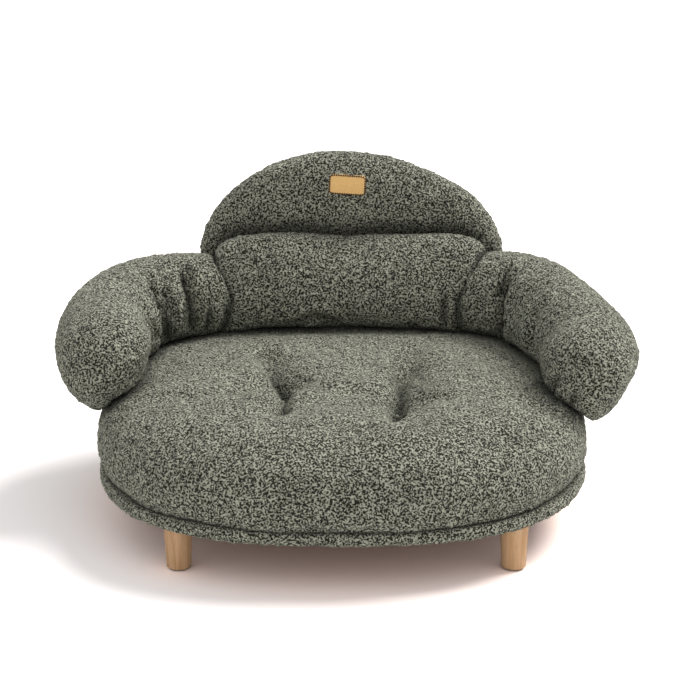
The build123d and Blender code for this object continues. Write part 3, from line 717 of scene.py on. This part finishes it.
def makeCushion(name, ownSettings):
    settings = {**cushionSettings, **ownSettings}
    piece = linkMesh(name, outsideOf(settings["node"], settings["holes"], settings["opened"]))
    voxels = piece.modifiers.new("voxels", "REMESH")
    voxels.mode = "VOXEL"
    voxels.voxel_size = settings["voxel"]
    applyModifiers(piece)
    points = relaxed(readPoints(piece.data), readEdges(piece.data), settings["relax"])
    writePoints(piece.data, points)
    points = points - readNormals(piece.data) * settings["shrink"]
    writePoints(piece.data, points)
    if "softSpots" in settings:
        softening = settings["softSpots"], settings["softRadius"], settings["softRounds"]
        points = softenNear(points, readEdges(piece.data), *softening)
        writePoints(piece.data, points)
    trees = [treeOf(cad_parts[other]) for other in settings["against"]]
    reach = reachTo(points, trees, settings["felt"])
    held = 1 - smoothStep(reach, *settings["held"])
    if "still" in settings:
        held = np.maximum(held, settings["still"](points))
    points = swell(piece, held, settings)
    writePoints(piece.data, relaxed(points, readEdges(piece.data), 2))
    if "reshape" in settings:
        writePoints(piece.data, settings["reshape"](readPoints(piece.data)))
    if "openBelow" in settings:
        changeForm(piece, lambda form: dropUnderside(form, settings))
    subdivided(piece)
    pressFolds(piece, settings["folds"])
    pressed = settings["pressed"](readPoints(piece.data)) if "pressed" in settings else 0.0
    raisePile(piece, settings["lumps"], 1 - pressed, pressed * pileSettings["pressedDepth"])
    if "openBelow" in settings:
        changeForm(piece, closeHoles)
    piece.data.materials.clear()
    piece.data.materials.append(teddyFabric)
    settle(piece, settings["replaces"], settings["fill"])
    print(name, "made:", len(piece.data.polygons), "faces")
    return piece


# The underside of the seat lies on the board, so it gets one flat face
def dropUnderside(form, settings):
    hidden = [face for face in form.faces if all(v.co.z < settings["openBelow"] for v in face.verts)]
    bmesh.ops.delete(form, geom=hidden, context="FACES")
    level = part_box("base_board")[1].z + settings["boardGap"]
    for vertex in form.verts:
        if vertex.is_boundary:
            vertex.co.z = level


# Seat cushion
seatSettings = {
    "node": "seat_cover",
    "replaces": ["seat_cover", "seat_fill", "seat_foam"],
    "against": ["back_cover", "lumbar_cover", "left_arm_cover", "right_arm_cover", "base_board"],
    "holes": [(-0.084, -0.069), (0.065, -0.123)],
    "softSpots": [(-0.084, -0.069), (0.065, -0.123), (-0.1, 0.0), (0.07, -0.05)],
    "voxel": 0.0052,
    "shrink": 0.0022,
    "frames": 18,
    "fill": 0.7,
    "openBelow": 0.0825,
    "boardGap": 0.0003,
    "lumps": 0.0022,
    "folds": [
        crease([(254, 338), (262, 352), (270, 366), (278, 382), (284, 395), (283, 404), (281, 413)],
               0.015, 0.009, lip=0.2, tapers=(0.5, 0.05)),
        crease([(261, 351), (266, 361), (273, 372), (282, 386), (285, 395), (283, 404), (280, 412)],
               0.007, 0.007, tapers=(0.5, 0.02), shade=0.95),
        crease([(274, 352), (286, 366), (297, 381), (302, 394)], 0.026, 0.007, shade=0.25),
        crease([(411, 350), (403, 364), (401, 376), (399, 392), (397, 404), (396, 418)],
               0.014, 0.011, lip=0.2, tapers=(0.4, 0.1)),
        crease([(404, 362), (402, 371), (401, 380), (400, 395), (397, 410), (393, 418)],
               0.007, 0.007, tapers=(0.35, 0.02), shade=0.95),
        crease([(416, 358), (418, 378), (417, 400), (410, 414)], 0.026, 0.007, shade=0.3),
        crease([(403, 358), (411, 350), (424, 342), (438, 336)], 0.007, 0.003),
        crease([(225, 414), (250, 412), (268, 410), (283, 407), (300, 403), (320, 400), (340, 399),
                (362, 403), (382, 410), (396, 413), (415, 414), (445, 411)],
               0.028, 0.005, lip=0.4, tapers=(0.3, 0.3)),
        crease([(278, 409), (285, 408)], 0.016, 0.009, tapers=(-1, -1), shade=0.7),
        crease([(392, 416), (400, 416)], 0.015, 0.010, tapers=(-1, -1), shade=0.7),
    ],
}
seatCushion = makeCushion("seatCushion", seatSettings)


# Arm bolsters, with the gathers on the inside of each bend. Their front ends sink outward and
# are trimmed below: how much, and towards which angle from straight down.
armSettings = {
    "against": ["back_cover", "seat_cover"],
    "cap": 0.004,
    "front": (-0.06, 0.14),
    "lobeLength": 0.12,
    "trimmed": (0.45, 1.0),
    "dropped": (0.12, 0.22),
    "crowned": (0.2, 0.29),
    "low": (0.17, 0.26),
    "inner": (0.16, 0.25),
}


def sunkArm(settings):
    def reshape(points):
        front = 1 - smoothStep(points[:, 1], *settings["front"])
        moved = points.copy()
        lobe = points[points[:, 1] < points[:, 1].min() + settings["lobeLength"]]
        centre = (lobe.min(axis=0) + lobe.max(axis=0)) / 2
        away = points - centre
        length = np.hypot(away[:, 0], away[:, 2])
        outward = away[:, 0] * math.copysign(1, centre[0]) / length
        downward = -away[:, 2] / length
        for share, tilt in (settings["trimInner"], settings["trimOuter"]):
            facing = outward * math.sin(tilt) + downward * math.cos(tilt)
            trim = share * front * smoothStep(facing, *settings["trimmed"])
            moved[:, [0, 2]] -= away[:, [0, 2]] * trim[:, None]
        moved[:, 2] -= settings["drop"] * front * (1 - smoothStep(points[:, 2], *settings["dropped"]))
        moved[:, 0] += settings["frontShift"][0] * front
        moved[:, 2] += settings["sink"] + settings["frontShift"][1] * front
        moved[:, 2] += settings["crown"] * smoothStep(points[:, 2], *settings["crowned"])
        low = 1 - smoothStep(points[:, 2], *settings["low"])
        inner = 1 - smoothStep(np.abs(points[:, 0]), *settings["inner"])
        moved[:, 0] += settings["innerShift"] * low * inner
        return moved

    return reshape


def makeArm(side, ownSettings):
    settings = {**armSettings, **ownSettings}
    settings["node"] = side + "_arm_cover"
    settings["replaces"] = [side + "_arm_cover", side + "_arm_fill"]
    settings["reshape"] = sunkArm(settings)
    return makeCushion(side + "Arm", settings)


leftArmSettings = {
    "fill": 0.85,
    "sink": -0.004,
    "frontShift": (-0.004, -0.005),
    "innerShift": -0.006,
    "trimInner": (0.22, -0.95),
    "trimOuter": (0.1, 0.8),
    "crown": 0.004,
    "drop": 0.006,
    "folds": [
        crease([(140, 270), (151, 279), (158, 294), (161, 312), (162, 325), (162, 343)],
               0.012, 0.014, lip=0.35, tapers=(0.6, 0.05), shade=0.6),
        crease([(144, 272), (151, 279), (158, 294), (161, 312), (162, 325), (162, 343)],
               0.005, 0.007, tapers=(0.5, 0.02), shade=1.0),
        crease([(157, 282), (162, 295), (166, 308), (168, 322), (169, 342)], 0.011, 0.003,
               tapers=(0.6, 0.02), shade=1.0),
        crease([(140, 285), (145, 291), (151, 300), (157, 312), (160, 327), (161, 342)],
               0.0045, 0.006, tapers=(0.4, 0.1), shade=0.8),
        crease([(134, 291), (140, 299), (147, 313), (153, 325), (156, 342)],
               0.005, 0.005, tapers=(0.5, 0.1), shade=0.45),
        crease([(178, 257), (183, 271), (187, 285), (190, 297), (192, 312), (193, 333)],
               0.009, 0.009, lip=0.3, tapers=(0.4, 0.05)),
        crease([(178, 261), (184, 276), (187, 287), (191, 300), (193, 315), (193, 333)],
               0.004, 0.005, tapers=(0.25, 0.02), shade=1.0),
        crease([(185, 262), (189, 271), (194, 283)], 0.0035, 0.004, shade=0.5),
        crease([(163, 285), (168, 300), (172, 322)], 0.006, 0.005, shade=0.3),
        crease([(211, 306), (209, 318), (207, 332)], 0.006, 0.007, shade=0.9, tapers=(0.4, 0.02)),
        crease([(154, 260), (164, 280), (168, 300)], 0.006, 0.003, shade=0.15),
        crease([(146, 318), (151, 330), (152, 345)], 0.004, 0.003, shade=0.3),
    ],
}
leftArm = makeArm("left", leftArmSettings)

rightArmSettings = {
    "fill": 0.8,
    "sink": -0.003,
    "frontShift": (0.009, -0.007),
    "innerShift": -0.014,
    "trimInner": (0.17, -0.9),
    "trimOuter": (0.24, 0.75),
    "crown": 0.005,
    "drop": 0.011,
    "folds": [
        crease([(516, 266), (506, 282), (500, 297), (499, 311), (499, 327), (500, 342)],
               0.009, 0.010, lip=0.35, tapers=(0.4, 0.1)),
        crease([(513, 272), (504, 284), (500, 295), (498, 306), (498, 320), (500, 342)],
               0.0045, 0.006, tapers=(0.3, 0.02), shade=1.0),
        crease([(512, 263), (504, 274), (499, 287), (496, 300)], 0.004, 0.005, shade=0.8),
        crease([(542, 300), (534, 314), (530, 329), (531, 343), (534, 358)],
               0.011, 0.009, lip=0.35, tapers=(0.5, 0.05)),
        crease([(534, 314), (530, 329), (531, 343), (534, 358)], 0.005, 0.004, shade=0.6, tapers=(0.5, 0.05)),
        crease([(560, 370), (555, 381), (551, 393)], 0.0055, 0.006, shade=0.6, tapers=(0.5, 0.1)),
        crease([(578, 394), (571, 401), (565, 407)], 0.006, 0.006, shade=0.6, tapers=(0.5, 0.1)),
    ],
}
rightArm = makeArm("right", rightArmSettings)


# Lumbar cushion, pressed between the arms. It leans back, its ends spread over the arms at the
# top on the right and at the bottom on the left, and its lower corners sink into the seat.
def fullLumbar(points):
    shape = lumbarSettings
    high = smoothStep(points[:, 2], *shape["high"])
    corner = smoothStep(np.abs(points[:, 0]), *shape["corner"])
    corner *= 1 - smoothStep(points[:, 2], *shape["low"])
    moved = points.copy()
    moved[:, 2] -= shape["cornerSink"] * corner
    moved[:, 0] += shape["rightSpread"] * high * smoothStep(points[:, 0], *shape["ends"])
    leftSpread = shape["leftSpread"][0] + shape["leftSpread"][1] * (1 - high)
    moved[:, 0] -= leftSpread * smoothStep(-points[:, 0], *shape["ends"])
    moved[:, 1] += shape["lean"][0] * high - shape["lean"][1] * (1 - high)
    moved[:, 2] += shape["rise"] * high
    return moved


lumbarSettings = {
    "node": "lumbar_cover",
    "replaces": ["lumbar_cover", "lumbar_fill"],
    "against": ["back_cover"],
    "fill": 0.75,
    "lumps": 0.003,
    "reshape": fullLumbar,
    "high": (0.2, 0.3),
    "low": (0.18, 0.24),
    "corner": (0.11, 0.17),
    "cornerSink": 0.012,
    "ends": (0.06, 0.18),
    "rightSpread": 0.016,
    "leftSpread": (0.004, 0.006),
    "lean": (0.022, 0.009),
    "rise": 0.004,
    "folds": [
        crease([(275, 333), (300, 322), (315, 318), (330, 321), (352, 332)],
               0.009, 0.009, lip=0.3, shade=0.35),
        crease([(388, 333), (410, 325), (432, 332)], 0.008, 0.007, lip=0.3, shade=0.35),
        crease([(443, 286), (444, 300), (444, 314), (446, 330)], 0.005, 0.007, shade=0.75, tapers=(0.5, 0.1)),
        crease([(318, 236), (319, 246), (322, 260)], 0.014, 0.008, tapers=(-1, 0.9)),
        crease([(381, 236), (380, 248), (377, 262)], 0.014, 0.008, tapers=(-1, 0.9)),
        crease([(262, 240), (266, 256), (272, 270)], 0.010, 0.003, tapers=(0.1, 0.8)),
        crease([(430, 244), (426, 256), (424, 268)], 0.010, 0.003, tapers=(0.1, 0.8)),
    ],
}
lumbarCushion = makeCushion("lumbarCushion", lumbarSettings)


# Domed back cushion, a little wider low down. Its rear stays flat where the zip lies, and its
# pile is pressed down under the zip's tape.
def nearZip(points):
    return smoothStep(points[:, 1], *backSettings["flatRear"])


def underTape(points):
    low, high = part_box("zip_tape")
    across = np.maximum(low.x - points[:, 0], points[:, 0] - high.x)
    upward = np.maximum(low.z - points[:, 2], points[:, 2] - high.z)
    beyond = smoothStep(np.maximum(across, upward), 0.0, backSettings["tapeMargin"])
    return nearZip(points) * (1 - beyond)


def wideBase(points):
    aside = np.sign(points[:, 0]) * smoothStep(np.abs(points[:, 0]), *backSettings["aside"])
    moved = points.copy()
    moved[:, 0] += backSettings["widening"] * aside * (1 - smoothStep(points[:, 2], *backSettings["high"]))
    return moved


backSettings = {
    "node": "back_cover",
    "replaces": ["back_cover", "back_fill"],
    "against": ["lumbar_cover", "base_board"],
    "opened": True,
    "shrink": 0.0,
    "fill": 0.6,
    "still": nearZip,
    "flatRear": (0.285, 0.298),
    "pressed": underTape,
    "tapeMargin": 0.004,
    "reshape": wideBase,
    "aside": (0.1, 0.2),
    "high": (0.3, 0.38),
    "widening": 0.004,
}
backCushion = makeCushion("backCushion", backSettings)


# Leather label: a bare patch that lies on the dome, with its edge overcast in dark thread
labelSettings = {
    "halfWidth": 0.026,
    "halfHeight": 0.0132,
    "squareness": 9.0,
    "tilt": math.radians(-3.4),
    "thickness": 0.0017,
    "sunk": 0.0022,
    "rings": 14,
    "spokes": 160,
    "stitches": 44,
    "stitchLength": 0.0031,
    "stitchWidth": 0.0011,
    "stitchInset": 0.0009,
    "stitchShares": (-1, -0.8, -0.4, 0, 0.4, 0.8, 1),
    "stitchSides": 8,
    "fitSteps": (6, 4),
    "ripple": 0.00012,
    "rimSteps": 2000,
}


def labelFrame():
    low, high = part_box("label_patch")
    turn = labelSettings["tilt"]
    across = Vector((math.cos(turn), 0, math.sin(turn)))
    upward = Vector((-math.sin(turn), 0, math.cos(turn)))
    return (low + high) / 2, across, upward


def labelRim(angle, inset=0.0):
    power = 2 / labelSettings["squareness"]
    across, upward = math.cos(angle), math.sin(angle)
    return (
        (labelSettings["halfWidth"] - inset) * math.copysign(abs(across) ** power, across),
        (labelSettings["halfHeight"] - inset) * math.copysign(abs(upward) ** power, upward),
    )


def labelSurface():
    centre, across, upward = labelFrame()
    tree = treeOf(backCushion)
    rows, depths = [], []
    columns, lines = labelSettings["fitSteps"]
    for step in range(-columns, columns + 1):
        for rise in range(-lines, lines + 1):
            u = labelSettings["halfWidth"] * step / columns
            v = labelSettings["halfHeight"] * rise / lines
            start = centre + across * u + upward * v
            start.y = centre.y - 0.2
            found = tree.ray_cast(start, Vector((0, 1, 0)))[0]
            if found is not None:
                rows.append((1, u, v, u * u, v * v))
                depths.append(found.y)
    fit = np.linalg.lstsq(np.array(rows), np.array(depths), rcond=None)[0]

    def place(u, v, out):
        spot = centre + across * u + upward * v
        spot.y = float(np.dot(fit, (1, u, v, u * u, v * v))) - out
        return spot

    return place


# Even steps round the label's edge, with the direction that the edge runs in
def rimWalk(count, inset=0.0):
    rimSteps = labelSettings["rimSteps"]
    corners = [labelRim(2 * math.pi * step / rimSteps, inset) for step in range(rimSteps + 1)]
    walked = np.cumsum([0.0] + [math.dist(here, after) for here, after in zip(corners, corners[1:])])
    steps = []
    for wanted in np.arange(count) * walked[-1] / count:
        leg = int(np.searchsorted(walked, wanted, side="right")) - 1
        here, after = Vector(corners[leg]), Vector(corners[leg + 1])
        spot = here.lerp(after, (wanted - walked[leg]) / (walked[leg + 1] - walked[leg]))
        steps.append((spot.x, spot.y, math.atan2(after.y - here.y, after.x - here.x)))
    return steps


def makePatch(place):
    thickness, sunk = labelSettings["thickness"], labelSettings["sunk"]
    rings, spokes = labelSettings["rings"], labelSettings["spokes"]
    profile = [(ring / rings * 0.9, thickness) for ring in range(1, rings)]
    profile += [(0.94, thickness * 0.98), (0.97, thickness * 0.85), (0.99, thickness * 0.55), (1.0, 0.0)]
    profile += [(0.995, -sunk)]
    rim = rimWalk(spokes)
    points = [place(0, 0, thickness)]
    for share, out in profile:
        for u, v, _ in rim:
            ripple = labelSettings["ripple"] * math.sin(u * 900 + v * 700) * share
            points.append(place(u * share, v * share, out + ripple))
    points.append(place(0, 0, -sunk))
    faces = []
    for spoke in range(spokes):
        after = (spoke + 1) % spokes
        faces.append((0, 1 + spoke, 1 + after))
        for row in range(len(profile) - 1):
            here, below = 1 + row * spokes, 1 + (row + 1) * spokes
            faces.append((here + spoke, below + spoke, below + after, here + after))
        last = 1 + (len(profile) - 1) * spokes
        faces.append((last + spoke, len(points) - 1, last + after))
    patch = meshPiece("labelPatch", points, faces, finishes["label_leather"])
    settle(patch, ["label_patch"])


# One stitch: a short fat spindle of thread that dips into the leather at both ends
def addStitch(points, faces, place, u, v, heading):
    first = len(points)
    length, width = labelSettings["stitchLength"], labelSettings["stitchWidth"]
    along = (math.cos(heading), math.sin(heading))
    aside = (-math.sin(heading), math.cos(heading))
    shares, sides = labelSettings["stitchShares"], labelSettings["stitchSides"]
    for share in shares:
        girth = max(0.12, math.sqrt(max(0.0, 1 - share ** 4)))
        for side in range(sides):
            turn = 2 * math.pi * side / sides
            offset = width * girth * math.cos(turn)
            lift = width * girth * math.sin(turn) + labelSettings["thickness"] - width * 0.4 * abs(share) ** 2
            points.append(place(
                u + along[0] * length / 2 * share + aside[0] * offset,
                v + along[1] * length / 2 * share + aside[1] * offset,
                lift,
            ))
    for row in range(len(shares) - 1):
        for side in range(sides):
            after = (side + 1) % sides
            here = first + row * sides
            faces.append((here + side, here + after, here + sides + after, here + sides + side))
    faces.append(tuple(first + side for side in reversed(range(sides))))
    faces.append(tuple(first + (len(shares) - 1) * sides + side for side in range(sides)))


def makeStitches(place):
    points, faces = [], []
    for u, v, heading in rimWalk(labelSettings["stitches"], labelSettings["stitchInset"]):
        addStitch(points, faces, place, u, v, heading)
    stitches = meshPiece("labelStitches", points, faces, finishes["label_thread"])
    settle(stitches, ["label_stitching"])
    print("label made:", labelSettings["stitches"], "stitches")


# Padded band round the base
bandSettings = {
    "sideStep": 0.0026,
    "bulge": 0.0025,
    "sideRows": 8,
    "squareness": 2.6,
    "hem": 0.022,
    "reach": 0.034,
    "lumps": 0.001,
    "pileFrom": (-0.006, -0.001),
    "fill": 0.5,
}


def makeBand():
    low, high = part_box("base_cover")
    centre = (low + high) / 2
    halfWidth, halfDepth = (high.x - low.x) / 2, (high.y - low.y) / 2
    height = high.z - low.z
    hem, reach, bulge = bandSettings["hem"], bandSettings["reach"], bandSettings["bulge"]
    outline = [(-reach, height + 0.0001), (-0.0072, height + 0.0001), (-0.0035, height + 0.0004)]
    outline.append((-0.001, height - 0.0012))
    for step in range(1, bandSettings["sideRows"]):
        share = step / bandSettings["sideRows"]
        outline.append((bulge * math.sin(math.pi * share) - 0.0006, height * (1 - share)))
    outline += [(-0.001, 0.0004), (-0.004, -0.0008), (-0.008, -0.0009), (-0.012, -0.0008), (-0.017, -0.0006)]
    outline += [(-hem, -0.0002), (-hem, 0.0008), (-0.0076, 0.0009), (-0.0076, height - 0.0006)]
    outline.append((-reach, height))
    pileShares = [smoothStep(out, *bandSettings["pileFrom"]) for out, _ in outline]
    rings = round(math.pi * (halfWidth + halfDepth) * 1.04 / bandSettings["sideStep"])
    power = 2 / bandSettings["squareness"]
    points = []
    for ring in range(rings):
        angle = 2 * math.pi * ring / rings
        across, deep = math.cos(angle), math.sin(angle)
        for out, level in outline:
            points.append((
                centre.x + (halfWidth + out) * math.copysign(abs(across) ** power, across),
                centre.y + (halfDepth + out) * math.copysign(abs(deep) ** power, deep),
                low.z + level,
            ))
    count = len(outline)
    faces = []
    for ring in range(rings):
        after = (ring + 1) % rings
        for row in range(count):
            below = (row + 1) % count
            here, there = ring * count, after * count
            faces.append((here + row, here + below, there + below, there + row))
    band = meshPiece("baseBand", points, faces, teddyFabric)
    settle(band, ["base_cover"], bandSettings["fill"])
    raisePile(band, bandSettings["lumps"], np.tile(pileShares, rings))
    print("base band made:", len(faces), "faces")
    return band


baseBand = makeBand()
labelPlace = labelSurface()
makePatch(labelPlace)
makeStitches(labelPlace)
# Painted shade where the cushions, the seat and the band meet one another
shadeContacts({seatCushion: 0.02, leftArm: 0.014, rightArm: 0.014, lumbarCushion: 0.01, backCushion: 0.03})
shadeContacts({seatCushion: 0.005, baseBand: 0.003})


# Floor: pale paper that the camera sees as white where it is lit, with a warm tint painted into the shade
# under the seat
floorSettings = {
    "size": 14.0,
    "seen": (1.5, 1.46, 1.47, 1),
    "seenPaintedWarmShade": (2.3, 1.6, 1.35, 1),
    "lit": (0.84, 0.83, 0.82, 1),
    "warmReach": (0.15, 0.42),
    "below": 0.0002,
}


def makeFloor():
    material, tree, _ = newMaterial("floorPaper")
    tree.nodes.clear()
    link = tree.links.new
    result = addNode(tree, "ShaderNodeOutputMaterial", (400, 0))
    place = addNode(tree, "ShaderNodeTexCoord", (-1000, 200))
    away = vectorNode(tree, (-800, 200), "LENGTH")
    link(place.outputs["Object"], away.inputs[0])
    # painted warm shade: a warmer floor colour near the middle, seen only where the seat shades the floor
    near = mapRange(tree, (-600, 200), *floorSettings["warmReach"], 1.0, 0.0)
    link(away.outputs["Value"], near.inputs["Value"])
    tint = mixNode(tree, (-400, 200), {"A": floorSettings["seen"], "B": floorSettings["seenPaintedWarmShade"]})
    link(near.outputs["Result"], tint.inputs["Factor"])
    seen = addNode(tree, "ShaderNodeBsdfDiffuse", (0, 100))
    link(tint.outputs["Result"], seen.inputs["Color"])
    lit = addNode(tree, "ShaderNodeBsdfDiffuse", (0, -100), {"Color": floorSettings["lit"]})
    path = addNode(tree, "ShaderNodeLightPath", (-200, 400))
    choose = addNode(tree, "ShaderNodeMixShader", (200, 0))
    link(path.outputs["Is Camera Ray"], choose.inputs[0])
    link(lit.outputs[0], choose.inputs[1])
    link(seen.outputs[0], choose.inputs[2])
    link(choose.outputs[0], result.inputs["Surface"])
    size = floorSettings["size"]
    corners = [(-size, -size, 0), (size, -size, 0), (size, size, 0), (-size, size, 0)]
    floor = meshPiece("floor", corners, [(0, 1, 2, 3)], material)
    floor.location.z = -floorSettings["below"]


lightSettings = {
    "sun": {"from": (0.7, 0.45, 1.0), "angle": 30.0, "strength": 2.6, "colour": (1.0, 0.985, 0.96)},
    "sky": 0.6,
    "skyColour": (1.0, 0.985, 0.975, 1),
}


def makeSun():
    settings = lightSettings["sun"]
    data = bpy.data.lights.new("sun", "SUN")
    data.angle = math.radians(settings["angle"])
    data.energy = settings["strength"]
    data.color = settings["colour"]
    lamp = bpy.data.objects.new("sun", data)
    scene.collection.objects.link(lamp)
    lamp.rotation_euler = Vector(settings["from"]).to_track_quat("Z", "Y").to_euler()


def makeWorld():
    world = bpy.data.worlds.new("studio")
    scene.world = world
    world.use_nodes = True
    tree = world.node_tree
    tree.nodes.clear()
    result = addNode(tree, "ShaderNodeOutputWorld", (400, 0))
    sky = {"Color": lightSettings["skyColour"], "Strength": lightSettings["sky"]}
    soft = addNode(tree, "ShaderNodeBackground", (0, -100), sky)
    white = addNode(tree, "ShaderNodeBackground", (0, 100), {"Color": (1, 1, 1, 1), "Strength": 1.0})
    link = tree.links.new
    path = addNode(tree, "ShaderNodeLightPath", (-400, 300))
    seen = mathNode(tree, (-200, 300), "MAXIMUM")
    link(path.outputs["Is Camera Ray"], seen.inputs[0])
    link(path.outputs["Is Glossy Ray"], seen.inputs[1])
    choose = addNode(tree, "ShaderNodeMixShader", (200, 0))
    link(seen.outputs[0], choose.inputs[0])
    link(soft.outputs[0], choose.inputs[1])
    link(white.outputs[0], choose.inputs[2])
    link(choose.outputs[0], result.inputs["Surface"])


makeFloor()
makeSun()
makeWorld()
scene.view_settings.view_transform = "Standard"
print("stage made")
